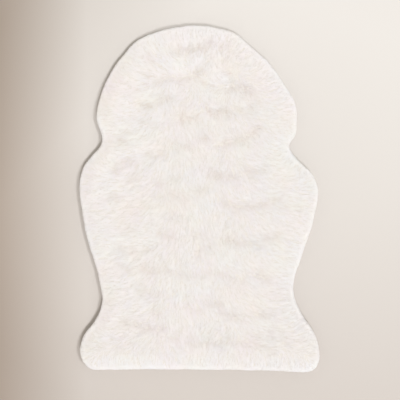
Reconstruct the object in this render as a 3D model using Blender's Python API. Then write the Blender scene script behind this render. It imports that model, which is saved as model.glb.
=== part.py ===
"""A sheepskin rug lying flat: one skin with its wool, cut to the classic hide outline.

Metres, +Z up. The head end points to +Y and the straight hem to -Y. The origin is on the floor, under the
middle of the rug's box. Skin and wool are one piece, so the rug is one solid: a lumpy slab, flat underneath,
whose furrows follow the way the pile parts and whose rim ends in separate locks that lie on the floor.
"""

import math
from typing import NamedTuple

import bmesh
import bpy
import numpy as np
from mathutils import Vector, geometry, noise

MM = 0.001

# Driving dimensions
RUG_LENGTH = 0.900  # from the head's crown to the hem, over the wool
PILE_HEIGHT = 0.030  # top of the wool over the floor, between two furrows
RIM_WIDTH = 0.024  # stretch over which the wool rounds over from its full height to the cut
RIM_FULLNESS = 2.4  # 1 is a straight slope down to the edge, 2 a quarter of an ellipse
LUMP_HEIGHT = 0.0014  # how far a lump stands over or under the even pile
LUMP_SIZE = 0.034  # from one lump to the next

# Locks round the rim
LOCK_COUNT = 264
LOCK_WIDTH_SPREAD = 0.17  # a parting may lie this share of a lock's width off its even place
LOCK_LENGTH = 0.0145  # how deep the parting between two locks runs in from their tips
LOCK_LENGTH_SPREAD = 0.0035  # one parting is shorter or longer than the next by up to this
LOCK_TIP_DRAW = 0.0020  # a tip may end this much inside the outline
LOCK_TIP_LEAN = 0.12  # a tip may lie this share of a lock's width off the lock's middle
LOCK_TIP_HEIGHT = 0.0160  # the trimmed ends of the wool
PARTING_HEIGHT = 0.0205  # wool over the floor at the inner end of a parting
SHOULDER_INSET = 0.0050  # where a lock is still nearly full width
SHOULDER_SHARE = 0.17  # half the gap between two locks there, as a share of a lock's width
GROOVE_REACH = 0.034  # how far in from the outline the grooves between locks still show
GROOVE_DEPTH = 0.22  # share of the height that a groove takes away at the partings

# Spacing of the surface's points
OUTLINE_STEPS = 12  # samples of the smooth outline to a lock, and between two stations
RING_INSETS = (0.024, 0.038)  # rings of points that follow the rim
RING_COUNTS = (2 * LOCK_COUNT, LOCK_COUNT)
RING_KEEP = 0.93  # a ring's point is kept if it lies at least this share of its inset inside
GRID_INSET = 0.047  # the even grid starts this far inside the outline
GRID_PITCH = 0.0135
RING_GAP = 0.0105  # nearer the outline, a grid point only fills a gap between the rings that is wider than this
MERGE_DISTANCE = 1e-6
SMOOTH_ANGLE = 50  # degrees; sharper edges, such as the rim's foot, stay sharp
SEED = 7


class Station(NamedTuple):
    """A point that the outline passes through, in millimetres from the middle of the rug."""

    x: float
    y: float


class Furrow(NamedTuple):
    """A line where the pile parts: its middle and half length in millimetres, tilt in degrees, depth in mm."""

    x: float
    y: float
    half_length: float
    tilt: float
    depth: float


# The cut, clockwise from the middle of the hem: left foot, waist, flank, neck, head, and down the right side.
OUTLINE = (
    Station(-127, -443), Station(-225, -444), Station(-281, -442), Station(-304, -418),
    Station(-309, -395), Station(-300, -356), Station(-270, -316), Station(-251, -266),
    Station(-264, -190), Station(-289, -109), Station(-304, -31), Station(-311, 27),
    Station(-303, 76), Station(-275, 114), Station(-254, 139), Station(-252, 163),
    Station(-266, 206), Station(-254, 272), Station(-220, 341), Station(-194, 373),
    Station(-165, 407), Station(-101, 435), Station(-10, 449), Station(58, 440),
    Station(97, 427), Station(129, 398), Station(183, 351), Station(227, 288),
    Station(250, 249), Station(254, 206), Station(250, 162), Station(232, 136),
    Station(256, 101), Station(291, 67), Station(309, 20), Station(298, -54),
    Station(266, -153), Station(244, -233), Station(263, -293), Station(301, -351),
    Station(313, -402), Station(308, -434), Station(286, -449), Station(205, -447),
    Station(94, -445),
)

# Where the pile parts, from the head down to the hem.
FURROWS = (
    Furrow(-23, 396, 45, 10, 6.5), Furrow(21, 362, 30, 62, 4.5), Furrow(-49, 315, 55, 8, 6.0),
    Furrow(101, 284, 46, -8, 7.0), Furrow(-109, 253, 42, 5, 4.5), Furrow(81, 216, 62, 6, 6.0),
    Furrow(-36, 202, 34, 8, 4.5), Furrow(172, 186, 28, 48, 4.0), Furrow(-205, 149, 20, -20, 4.5),
    Furrow(96, 144, 68, 7, 7.5), Furrow(-42, 127, 26, 15, 4.0), Furrow(-117, 111, 46, -2, 6.0),
    Furrow(-208, 96, 24, -6, 4.5), Furrow(151, 68, 36, 14, 5.0), Furrow(60, 54, 44, -4, 6.0),
    Furrow(-36, 16, 62, 6, 5.0), Furrow(-231, 2, 26, 0, 4.0), Furrow(135, -15, 85, 9, 7.5),
    Furrow(-65, -51, 34, -3, 4.0), Furrow(203, -101, 36, 5, 5.5), Furrow(-44, -101, 62, 0, 5.0),
    Furrow(109, -116, 60, -3, 7.5), Furrow(16, -132, 32, 35, 5.0), Furrow(-174, -131, 60, -3, 5.0),
    Furrow(-164, -181, 68, -14, 5.0), Furrow(75, -205, 108, 0, 4.5), Furrow(29, -285, 65, -20, 6.0),
    Furrow(-127, -284, 32, -22, 4.0), Furrow(161, -293, 38, 0, 6.0), Furrow(-179, -322, 84, -16, 6.5),
    Furrow(-21, -371, 50, -3, 5.0), Furrow(114, -387, 98, -1, 6.5),
)
FURROW_HALF_WIDTH = 0.0115
TABLE_LENGTH = 0.900  # the length of the rug that the two tables above describe
TABLE_SCALE = MM * RUG_LENGTH / TABLE_LENGTH


def clear_scene() -> None:
    """Removes every object that the scene starts with."""
    for obj in list(bpy.data.objects):
        bpy.data.objects.remove(obj, do_unlink=True)


def smooth_outline() -> np.ndarray:
    """The cut as a closed smooth curve through its stations, in metres, as evenly spaced points."""
    stations = np.array([(s.x, s.y) for s in OUTLINE]) * TABLE_SCALE
    before, after, beyond = (np.roll(stations, shift, axis=0) for shift in (1, -1, -2))
    curve = []
    for a, b, c, d in zip(before, stations, after, beyond, strict=True):
        ab, bc, cd = (math.sqrt(np.linalg.norm(q - p)) for p, q in ((a, b), (b, c), (c, d)))
        leaving = (b - a) / ab - (c - a) / (ab + bc) + (c - b) / bc
        arriving = (c - b) / bc - (d - b) / (bc + cd) + (d - c) / cd
        for t in np.arange(OUTLINE_STEPS) / OUTLINE_STEPS:
            rise = t * t * (3 - 2 * t)
            swing = leaving * t * (1 - t) ** 2 - arriving * t * t * (1 - t)
            curve.append(b * (1 - rise) + c * rise + bc * swing)
    return resampled(np.array(curve), LOCK_COUNT * OUTLINE_STEPS)


def resampled(closed: np.ndarray, count: int) -> np.ndarray:
    """A closed line as count points at even distances along it."""
    loop = np.vstack([closed, closed[:1]])
    along = np.concatenate([[0.0], np.cumsum(np.linalg.norm(np.diff(loop, axis=0), axis=1))])
    at = np.arange(count) / count * along[-1]
    return np.stack([np.interp(at, along, loop[:, axis]) for axis in (0, 1)], axis=1)


def inward_normals(line: np.ndarray) -> np.ndarray:
    """The unit normal at each point of a closed clockwise line, pointing into the rug."""
    ahead = np.roll(line, -1, axis=0) - np.roll(line, 1, axis=0)
    ahead /= np.linalg.norm(ahead, axis=1)[:, None]
    return np.stack([ahead[:, 1], -ahead[:, 0]], axis=1)


def furrow_depth(x: float, y: float) -> float:
    """How far the partings of the pile lower the surface there."""
    depth = 0.0
    for furrow in FURROWS:
        tilt = math.radians(furrow.tilt)
        dx, dy = x - furrow.x * TABLE_SCALE, y - furrow.y * TABLE_SCALE
        along = dx * math.cos(tilt) + dy * math.sin(tilt)
        across = dy * math.cos(tilt) - dx * math.sin(tilt)
        reach = (along / (furrow.half_length * TABLE_SCALE)) ** 4 + (across / FURROW_HALF_WIDTH) ** 2
        depth = max(depth, furrow.depth * MM * math.exp(-reach))
    return depth


class Rim:
    """The smooth outline and its locks, with the place of any point of the rug read against it."""

    def __init__(self) -> None:
        self.line = smooth_outline()
        self.inward = inward_normals(self.line)
        self.chance = np.random.default_rng(SEED)
        spread = self.chance.uniform(-LOCK_WIDTH_SPREAD, LOCK_WIDTH_SPREAD, LOCK_COUNT)
        self.partings = np.append(np.arange(LOCK_COUNT) + spread, LOCK_COUNT + spread[0]) / LOCK_COUNT

    def inset(self, share: float, depth: float) -> tuple[float, float]:
        """The point at that share of the way round, that far inside the outline."""
        index = round(share * len(self.line)) % len(self.line)
        return tuple(self.line[index] + self.inward[index] * depth)

    def ring(self, depth: float, count: int) -> list[tuple[float, float]]:
        """Points that far inside the outline, without those that a tight corner would fold over."""
        points = [self.inset((i + 0.5) / count, depth) for i in range(count)]
        return [p for p in points if self.place(*p)[0] > depth * RING_KEEP]

    def place(self, x: float, y: float) -> tuple[float, float]:
        """How far a point lies inside the outline, and how far round it, from 0 to 1."""
        apart = np.array((x, y)) - self.line
        nearest = int(np.argmin((apart * apart).sum(axis=1)))
        inside = float(apart[nearest] @ self.inward[nearest])
        return inside, nearest / len(self.line)

    def wool_height(self, x: float, y: float) -> float:
        """The height of the wool over the floor at a point inside the outline."""
        inside, share = self.place(x, y)
        lump = noise.noise(Vector((x, y, 0.0)) / LUMP_SIZE) * LUMP_HEIGHT * 2
        full = PILE_HEIGHT - furrow_depth(x, y) + lump
        short_of_full = 1 - min(max(inside, 0.0) / RIM_WIDTH, 1.0)
        rise = (1 - short_of_full**RIM_FULLNESS) ** (1 / RIM_FULLNESS)
        height = LOCK_TIP_HEIGHT + (full - LOCK_TIP_HEIGHT) * rise
        lock = float(np.interp(share, self.partings, np.arange(LOCK_COUNT + 1)))
        groove = 0.5 + 0.5 * math.cos(2 * math.pi * lock)
        fade = max(0.0, 1 - max(inside - LOCK_LENGTH, 0.0) / (GROOVE_REACH - LOCK_LENGTH))
        return height * (1 - GROOVE_DEPTH * groove * fade * fade)

    def shoulder(self, share: float) -> tuple[float, float, float]:
        """The point at that share of the way round where a lock begins to narrow to its tip."""
        x, y = self.inset(share, SHOULDER_INSET)
        return x, y, self.wool_height(x, y)

    def lock_edge(self) -> list[tuple[float, float, float]]:
        """The rug's edge: each lock runs from a parting over its two shoulders to a tip and back."""
        edge = []
        for start, end in zip(self.partings[:-1], self.partings[1:], strict=True):
            width = end - start
            parting = LOCK_LENGTH + self.chance.uniform(-1, 1) * LOCK_LENGTH_SPREAD
            middle = 0.5 + self.chance.uniform(-1, 1) * LOCK_TIP_LEAN
            tip = self.inset(start + width * middle, self.chance.uniform(0, LOCK_TIP_DRAW))
            edge.append((*self.inset(start, parting), PARTING_HEIGHT))
            edge.append(self.shoulder(start + width * SHOULDER_SHARE))
            edge.append((*tip, LOCK_TIP_HEIGHT))
            edge.append(self.shoulder(end - width * SHOULDER_SHARE))
        return edge

    def surface_points(self) -> list[tuple[float, float, float]]:
        """Points of the wool's surface inside the locks: two rings along the rim, then staggered rows."""
        plan = [p for depth, count in zip(RING_INSETS, RING_COUNTS, strict=True) for p in self.ring(depth, count)]
        rings = np.array(plan)
        low, high = self.line.min(axis=0), self.line.max(axis=0)
        row_step = GRID_PITCH * math.sqrt(3) / 2
        for row, y in enumerate(np.arange(low[1], high[1], row_step)):
            shift = GRID_PITCH / 2 * (row % 2)
            for x in np.arange(low[0] + shift, high[0], GRID_PITCH):
                inside = self.place(x, y)[0]
                clear_of_rings = np.hypot(*(rings - (x, y)).T).min() > RING_GAP
                if inside > GRID_INSET or (inside > RING_INSETS[0] and clear_of_rings):
                    plan.append((x, y))
        return [(x, y, self.wool_height(x, y)) for x, y in plan]


def wool_surface(shape: bmesh.types.BMesh, rim: Rim) -> None:
    """Makes the wool's upper surface: triangles through every point inside the locks' edge."""
    edge = rim.lock_edge()
    points = edge + rim.surface_points()
    plan = [Vector(p[:2]) for p in points]
    keep_inside = 1
    made = geometry.delaunay_2d_cdt(plan, [], [list(range(len(edge)))], keep_inside, MERGE_DISTANCE)
    verts = [
        shape.verts.new((*place, points[source[0]][2]))
        for place, source in zip(made[0], made[3], strict=True)
    ]
    for corners in made[2]:
        shape.faces.new([verts[i] for i in corners])
    bmesh.ops.recalc_face_normals(shape, faces=shape.faces)
    if sum(face.normal.z for face in shape.faces) < 0:
        bmesh.ops.reverse_faces(shape, faces=shape.faces)


def close_underside(shape: bmesh.types.BMesh) -> None:
    """Drops a wall from the locks' edge to the floor and closes the flat underside."""
    rim_edges = [e for e in shape.edges if e.is_boundary]
    wall = bmesh.ops.extrude_edge_only(shape, edges=rim_edges)["geom"]
    for vertex in (v for v in wall if isinstance(v, bmesh.types.BMVert)):
        vertex.co.z = 0.0
    foot = [e for e in wall if isinstance(e, bmesh.types.BMEdge) and e.is_boundary]
    bmesh.ops.triangle_fill(shape, edges=foot, use_beauty=True, use_dissolve=False)
    bmesh.ops.recalc_face_normals(shape, faces=shape.faces)


def build_rug() -> bpy.types.Object:
    """The whole rug as one closed solid with a flat underside."""
    shape = bmesh.new()
    wool_surface(shape, Rim())
    close_underside(shape)
    corners = np.array([v.co for v in shape.verts])
    middle = (corners.min(axis=0) + corners.max(axis=0)) / 2
    bmesh.ops.translate(shape, verts=shape.verts, vec=(-middle[0], -middle[1], 0.0))

    mesh = bpy.data.meshes.new("sheepskin")
    shape.to_mesh(mesh)
    shape.free()
    mesh.shade_smooth()
    mesh.set_sharp_from_angle(angle=math.radians(SMOOTH_ANGLE))
    rug = bpy.data.objects.new("sheepskin", mesh)
    bpy.context.scene.collection.objects.link(rug)
    return rug


def wool_material() -> bpy.types.Material:
    """Undyed white wool: matt, slightly warm."""
    material = bpy.data.materials.new("white_wool")
    material.use_nodes = True
    shader = material.node_tree.nodes["Principled BSDF"]
    shader.inputs["Base Color"].default_value = (0.87, 0.82, 0.77, 1.0)
    shader.inputs["Roughness"].default_value = 0.9
    shader.inputs["Metallic"].default_value = 0.0
    return material


def main() -> None:
    """Builds the rug in an empty scene."""
    clear_scene()
    rug = build_rug()
    rug.data.materials.append(wool_material())


main()
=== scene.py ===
"""Looks of a white sheepskin rug that lies flat and is seen from straight above.

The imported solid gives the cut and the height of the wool. On it lie a thin suede skin, a soft body of
underwool, and tens of thousands of combed strands gathered in locks. The wool fans outwards over the rug's
rim and is trimmed along the cut. Inside, it parts along the furrows and leans away from them.
"""

import logging
import math
from collections.abc import Iterable
from dataclasses import dataclass, field
from enum import Enum

import bmesh
import bpy
import numpy as np
from mathutils import Matrix, Vector, geometry
from mathutils.bvhtree import BVHTree
from mathutils.kdtree import KDTree

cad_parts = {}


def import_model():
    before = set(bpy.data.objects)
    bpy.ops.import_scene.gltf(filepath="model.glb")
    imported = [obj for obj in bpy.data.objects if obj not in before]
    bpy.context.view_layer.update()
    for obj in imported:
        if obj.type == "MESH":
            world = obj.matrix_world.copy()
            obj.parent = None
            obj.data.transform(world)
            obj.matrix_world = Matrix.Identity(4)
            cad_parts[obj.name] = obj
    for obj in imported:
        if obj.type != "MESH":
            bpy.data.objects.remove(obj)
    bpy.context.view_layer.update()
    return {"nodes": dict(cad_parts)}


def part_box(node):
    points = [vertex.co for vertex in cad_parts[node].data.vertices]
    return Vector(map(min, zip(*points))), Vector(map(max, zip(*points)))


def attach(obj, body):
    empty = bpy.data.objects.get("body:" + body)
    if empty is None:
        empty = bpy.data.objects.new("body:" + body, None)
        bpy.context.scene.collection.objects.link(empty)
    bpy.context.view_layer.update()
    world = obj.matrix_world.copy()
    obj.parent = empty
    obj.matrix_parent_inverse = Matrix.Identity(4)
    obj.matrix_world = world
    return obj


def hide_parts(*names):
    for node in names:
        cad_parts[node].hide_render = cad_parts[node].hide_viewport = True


MM = 0.001
BODY = "root"
CAD_NODE = "sheepskin"
STRAND_MAP = "strand"
WHOLE_TURN = 2 * math.pi
WHITE = "#FFFFFF"
# Corners of the solid that are closer together than this are one.
SAME_PLACE = 0.01 * MM
# Keeps a vector of no length from being divided by 0.
TINY = 1e-9
# A Mix node that multiplies two colours, and its sockets for them, which share their names with others.
MULTIPLY = {"data_type": "RGBA", "blend_type": "MULTIPLY"}
MIX_COLOUR_A, MIX_COLOUR_B, MIX_COLOUR_OUT = 6, 7, 2

# Where the colours of a colour ramp lie, in order, and the colours.
Stops = tuple[tuple[float, str], ...]

log = logging.getLogger("sheepskin_rug")


def linear(hex_colour: str) -> tuple[float, float, float, float]:
    """Turns an sRGB colour into the linear one that a shader takes.

    Args:
        hex_colour: The colour as #RRGGBB.

    Returns:
        Red, green, blue and an alpha of 1.
    """
    parts = [int(hex_colour[i : i + 2], 16) / 255 for i in (1, 3, 5)]
    red, green, blue = (c / 12.92 if c <= 0.04045 else ((c + 0.055) / 1.055) ** 2.4 for c in parts)
    return red, green, blue, 1.0


def add_node(
    tree: bpy.types.NodeTree,
    kind: str,
    settings: dict[str, object] | None = None,
    inputs: dict[str | int, object] | None = None,
    links: dict[str | int, bpy.types.NodeSocket] | None = None,
    stops: Stops = (),
) -> bpy.types.Node:
    """Adds one shader node.

    Args:
        tree: The material's or world's node tree.
        kind: The node's type, such as ShaderNodeMapping.
        settings: Values for the node's own properties.
        inputs: Values for its input sockets, by name or number.
        links: Output sockets to link into its inputs, by name or number.
        stops: The colours of a colour ramp, and where between 0 and 1 each lies.

    Returns:
        The new node.
    """
    node = tree.nodes.new(kind)
    for name, value in (settings or {}).items():
        setattr(node, name, value)
    for name, value in (inputs or {}).items():
        node.inputs[name].default_value = value
    for name, socket in (links or {}).items():
        tree.links.new(socket, node.inputs[name])
    if stops:
        elements = node.color_ramp.elements
        elements.remove(elements[-1])
        elements[0].position = stops[0][0]
        for position, _ in stops[1:]:
            elements.new(position)
        for element, (_, colour) in zip(elements, stops):
            element.color = linear(colour)
    return node


def smoothstep(low: float, high: float, value: np.ndarray) -> np.ndarray:
    """0 below low, 1 above high and a soft rise between."""
    share = np.clip((value - low) / (high - low), 0.0, 1.0)
    return share * share * (3 - 2 * share)


def softened(values: np.ndarray, passes: int) -> np.ndarray:
    """Blurs a grid of values.

    Args:
        values: The grid, rows first, with any further axes.
        passes: How many times each point takes in its neighbours.

    Returns:
        The blurred grid.
    """
    for _ in range(passes):
        for axis in (0, 1):
            width = [(1, 1) if a == axis else (0, 0) for a in range(values.ndim)]
            padded = np.pad(values, width, mode="edge")
            before, here, after = (
                np.take(padded, np.arange(values.shape[axis]) + shift, axis=axis) for shift in (0, 1, 2)
            )
            values = (before + 2 * here + after) / 4
    return values


def unit(vectors: np.ndarray) -> np.ndarray:
    """The vectors on the last axis at a length of 1."""
    return vectors / np.maximum(np.linalg.norm(vectors, axis=-1, keepdims=True), TINY)


def staggered(box: tuple[Vector, Vector], pitch: float) -> np.ndarray:
    """Spreads places evenly over a box, in rows that are shifted by half a pitch in turn.

    Args:
        box: The box's lowest and highest corners.
        pitch: The distance from one place to the next.

    Returns:
        The places in plan.
    """
    low, high = box
    ys = np.arange(low.y, high.y, pitch * math.sqrt(3) / 2)
    grid_x, grid_y = np.meshgrid(np.arange(low.x, high.x, pitch), ys)
    grid_x[1::2] += pitch / 2
    return np.stack([grid_x.ravel(), grid_y.ravel()], axis=1)


class Finish:
    """What every finish does: it makes one Principled material and joins its nodes.

    Attributes:
        name: The material's name, after the real one.
        roughness: How matt it is, from 0 to 1.
        specular: How strongly it shines. 0.5 is usual.
        sheen: How strongly its fibres glow at a low angle.
    """

    name = ""
    roughness = 0.5
    specular = 0.3
    sheen = 0.0

    def material(self) -> bpy.types.Material:
        """Makes the material.

        Returns:
            The finished material.
        """
        material = bpy.data.materials.new(self.name)
        material.use_nodes = True
        shader = material.node_tree.nodes["Principled BSDF"]
        shader.inputs["Roughness"].default_value = self.roughness
        shader.inputs["Specular IOR Level"].default_value = self.specular
        shader.inputs["Sheen Weight"].default_value = self.sheen
        self.dress(material.node_tree, shader)
        return material

    def dress(self, tree: bpy.types.NodeTree, shader: bpy.types.Node) -> None:
        """Adds the finish's own nodes.

        Args:
            tree: The material's node tree.
            shader: Its Principled node.
        """
        raise NotImplementedError

    @staticmethod
    def layered(tree: bpy.types.NodeTree, layers: Iterable[bpy.types.NodeSocket]) -> bpy.types.NodeSocket:
        """Lays thin washes of colour over a ground.

        Args:
            tree: The material's node tree.
            layers: The ground's colour, and those of the washes, which darken and tint it in turn.

        Returns:
            The socket of the colour that shows.
        """
        colour, *washes = layers
        for wash in washes:
            both = {MIX_COLOUR_A: colour, MIX_COLOUR_B: wash}
            mix = add_node(tree, "ShaderNodeMix", MULTIPLY, {"Factor": 1.0}, both)
            colour = mix.outputs[MIX_COLOUR_OUT]
        return colour


@dataclass(frozen=True)
class Mottle:
    """A cloudy pattern of two tones.

    Attributes:
        patch: The size of its largest patches.
        tones: The two tones.
        change: From here to here, between the pattern's lowest and highest places, one turns into the other.
        detail: How many times finer patches are laid into the larger ones.
        fine_share: How much the finer ones count beside those.
        start: Where in a changing pattern it is read, so that two of them don't follow each other.
    """

    patch: float
    tones: tuple[str, str]
    change: tuple[float, float] = (0.3, 0.7)
    detail: float = 4.0
    fine_share: float = 0.6
    start: float | None = None

    def lay(
        self, tree: bpy.types.NodeTree, place: bpy.types.NodeSocket
    ) -> tuple[bpy.types.NodeSocket, bpy.types.NodeSocket]:
        """Adds the pattern to a material.

        Args:
            tree: The material's node tree.
            place: The socket of the coordinates.

        Returns:
            The sockets of its height, from 0 to 1, and of its colour.
        """
        cloud = add_node(
            tree,
            "ShaderNodeTexNoise",
            {"noise_dimensions": "3D" if self.start is None else "4D"},
            {"Scale": 1 / self.patch, "Detail": self.detail, "Roughness": self.fine_share},
            {"Vector": place},
        )
        if self.start is not None:
            cloud.inputs["W"].default_value = self.start
        height = cloud.outputs["Fac"]
        stops = tuple(zip(self.change, self.tones))
        colour = add_node(tree, "ShaderNodeValToRGB", links={"Fac": height}, stops=stops)
        return height, colour.outputs["Color"]


@dataclass(frozen=True)
class CombedWool(Finish):
    """Long white sheep's wool, scoured and combed: matt and soft, whiter at the tips than down in the pile.

    Its grease and the light through it give it faint rosy and creamy patches, as large as a hand is broad.

    Attributes:
        sheen_roughness: How widely the glow of the fibres' ends spreads.
        strand: Its colours along a strand, from the root at 0 to the tip at 1. The roots' darker cream is
        partly the wool's own and partly painted shade down in the pile.
        tones: The colours that tint a strand by its own tone, from the creamiest at 0 to the whitest at 1.
            The
        tone also carries painted shade in the partings and painted light and shade along the rim.
        patches: The faint patches, one set rosy and greenish grey, the other blue-grey and creamy.
    """

    name: str = "combed_white_wool"
    roughness: float = 0.85
    specular: float = 0.12
    sheen: float = 0.25
    sheen_roughness: float = 0.5
    # Darker and creamier at the root: partly the wool's own cream, partly painted shade down in the pile.
    strand: Stops = ((0.25, "#FDF9F9"), (0.85, "#FEFCFD"))
    # The darkest of these tones also gives the painted shade in the partings and at the rim's upper left.
    tones: Stops = ((0.0, "#EEE7E1"), (0.8, "#FEFDFC"), (1.0, WHITE))
    patches: tuple[Mottle, ...] = (
        Mottle(patch=60 * MM, tones=("#FFFDFD", "#FDFFFE"), change=(0.35, 0.65), start=0.0),
        Mottle(patch=50 * MM, tones=("#FEFEFF", "#FFFFFB"), change=(0.35, 0.65), start=7.0),
    )

    def dress(self, tree: bpy.types.NodeTree, shader: bpy.types.Node) -> None:
        """Colours each strand from root to tip, with a tone of its own, and lays faint patches over them.

        Args:
            tree: The material's node tree.
            shader: Its Principled node.
        """
        shader.inputs["Sheen Roughness"].default_value = self.sheen_roughness
        strand = add_node(tree, "ShaderNodeUVMap", {"uv_map": STRAND_MAP})
        parts = add_node(tree, "ShaderNodeSeparateXYZ", links={"Vector": strand.outputs["UV"]})
        layers = []
        for part, stops in (("Y", self.strand), ("X", self.tones)):
            ramp = add_node(tree, "ShaderNodeValToRGB", links={"Fac": parts.outputs[part]}, stops=stops)
            layers.append(ramp.outputs["Color"])
        place = add_node(tree, "ShaderNodeTexCoord").outputs["Object"]
        layers += [patches.lay(tree, place)[1] for patches in self.patches]
        tree.links.new(self.layered(tree, layers), shader.inputs["Base Color"])


@dataclass(frozen=True)
class Underwool(Finish):
    """The dense short wool between the locks: warm cream and felted, seen only in the gaps.

    Attributes:
        tufts: Its tufts, darker and creamier down between them: partly the wool's own cream, partly painted
            shade.
        tuft_height: How far they stand up.
        tuft_strength: How much of that shows.
    """

    name: str = "felted_cream_underwool"
    roughness: float = 0.95
    specular: float = 0.08
    tufts: Mottle = Mottle(patch=4 * MM, tones=("#EEE8E0", "#F6F2EC"), detail=3.0)
    tuft_height: float = 1.0 * MM
    tuft_strength: float = 0.6

    def dress(self, tree: bpy.types.NodeTree, shader: bpy.types.Node) -> None:
        """Mottles the cream at the size of a tuft, with painted shade where the tufts are low, and raises
        the tufts.

        Args:
            tree: The material's node tree.
            shader: Its Principled node.
        """
        place = add_node(tree, "ShaderNodeTexCoord").outputs["Object"]
        # One pattern gives the bump and the colour, so the hollows between tufts get painted shade as well
        # as cream.
        height, colour = self.tufts.lay(tree, place)
        bump = add_node(
            tree,
            "ShaderNodeBump",
            inputs={"Strength": self.tuft_strength, "Distance": self.tuft_height},
            links={"Height": height},
        )
        tree.links.new(colour, shader.inputs["Base Color"])
        tree.links.new(bump.outputs["Normal"], shader.inputs["Normal"])


@dataclass(frozen=True)
class SuededHide(Finish):
    """The tanned skin side, buffed to a suede: a soft pale buff with a fine nap and cloudy tanning.

    Attributes:
        tanning: The clouds that the tanning leaves.
        nap: From one tuft of the nap to the next.
        nap_detail: How many times finer tufts are laid into it.
        nap_height: How far it stands up.
        nap_strength: How much of that shows.
    """

    name: str = "suede_buffed_hide"
    roughness: float = 0.9
    specular: float = 0.15
    sheen: float = 0.3
    tanning: Mottle = Mottle(patch=70 * MM, tones=("#CDB99E", "#E4D6C2"), detail=5.0, fine_share=0.62)
    nap: float = 1.2 * MM
    nap_detail: float = 2.0
    nap_height: float = 0.3 * MM
    nap_strength: float = 0.4

    def dress(self, tree: bpy.types.NodeTree, shader: bpy.types.Node) -> None:
        """Clouds the tanning and adds the nap, which is drawn coarser than real so that it shows.

        Args:
            tree: The material's node tree.
            shader: Its Principled node.
        """
        place = add_node(tree, "ShaderNodeTexCoord").outputs["Object"]
        colour = self.tanning.lay(tree, place)[1]
        nap = add_node(
            tree,
            "ShaderNodeTexNoise",
            inputs={"Scale": 1 / self.nap, "Detail": self.nap_detail},
            links={"Vector": place},
        )
        bump = add_node(
            tree,
            "ShaderNodeBump",
            inputs={"Strength": self.nap_strength, "Distance": self.nap_height},
            links={"Height": nap.outputs["Fac"]},
        )
        tree.links.new(colour, shader.inputs["Base Color"])
        tree.links.new(bump.outputs["Normal"], shader.inputs["Normal"])


@dataclass(frozen=True)
class Falloff:
    """A stretch of painted shade over which the floor grows darker, and slowly lighter again far outside the
    picture.

    Attributes:
        bearing: The way it grows darker, in degrees from X.
        reach: Where it starts and is darkest, measured that way from the middle.
        tone: What the floor's colour is multiplied by where it is darkest.
        back: Where the floor is plain again.
    """

    bearing: float
    reach: tuple[float, float]
    tone: str
    back: float = 2.2


@dataclass(frozen=True)
class FloorPaper(Finish):
    """Plain pale studio floor, warm and matt, with painted light falloff: lighter at top than below, darker
    at far left.

    Attributes:
        near: Its colour at the lower end of its bearing.
        far: Its colour at the upper end.
        reach: How far from the middle these ends lie.
        bearing: The way its painted light makes it grow lighter, in degrees from X.
        falloffs: The stretches of painted shade over which it grows darker.
    """

    name: str = "matt_warm_studio_floor"
    roughness: float = 0.9
    specular: float = 0.1
    near: str = "#DBD3CC"
    far: str = "#F1EDE8"
    reach: float = 0.6
    bearing: float = 63.0
    # Painted shade: the floor darkens on its left side and in three of its corners, as light falling off
    # would.
    falloffs: tuple[Falloff, ...] = (
        Falloff(bearing=180.0, reach=(0.295, 0.52), tone="#D2C9C1"),
        Falloff(bearing=135.0, reach=(0.36, 0.70), tone="#E6E3E0"),
        Falloff(bearing=-60.0, reach=(0.22, 0.70), tone="#FAF9F9"),
        Falloff(bearing=-135.0, reach=(0.45, 0.64), tone="#FBFBFB"),
    )

    def dress(self, tree: bpy.types.NodeTree, shader: bpy.types.Node) -> None:
        """Paints light along the floor's bearing, and paints shade on its left side and in three of its
        corners.

        Args:
            tree: The material's node tree.
            shader: Its Principled node.
        """
        place = add_node(tree, "ShaderNodeTexCoord").outputs["Object"]
        # Painted light falloff: the floor grows lighter along its bearing.
        layers = [self.ramp(tree, place, self.bearing, ((-self.reach, self.near), (self.reach, self.far)))]
        for falloff in self.falloffs:
            start, darkest = falloff.reach
            stops = ((start, WHITE), (darkest, falloff.tone), (falloff.back, WHITE))
            layers.append(self.ramp(tree, place, falloff.bearing, stops))
        tree.links.new(self.layered(tree, layers), shader.inputs["Base Color"])

    @staticmethod
    def ramp(
        tree: bpy.types.NodeTree, place: bpy.types.NodeSocket, bearing: float, stops: Stops
    ) -> bpy.types.NodeSocket:
        """Goes from colour to colour over the floor.

        Args:
            tree: The material's node tree.
            place: The socket of the coordinates.
            bearing: The way it goes, in degrees from X.
            stops: How far that way from the middle each colour lies, and the colour.

        Returns:
            The colour's socket.
        """
        back = {"Rotation": (0.0, 0.0, math.radians(-bearing))}
        turned = add_node(tree, "ShaderNodeMapping", inputs=back, links={"Vector": place})
        parts = add_node(tree, "ShaderNodeSeparateXYZ", links={"Vector": turned.outputs["Vector"]})
        first, last = stops[0][0], stops[-1][0]
        share = add_node(
            tree,
            "ShaderNodeMapRange",
            inputs={"From Min": first, "From Max": last},
            links={"Value": parts.outputs["X"]},
        )
        stops = tuple(((at - first) / (last - first), tone) for at, tone in stops)
        colour = add_node(tree, "ShaderNodeValToRGB", links={"Fac": share.outputs["Result"]}, stops=stops)
        return colour.outputs["Color"]


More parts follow.
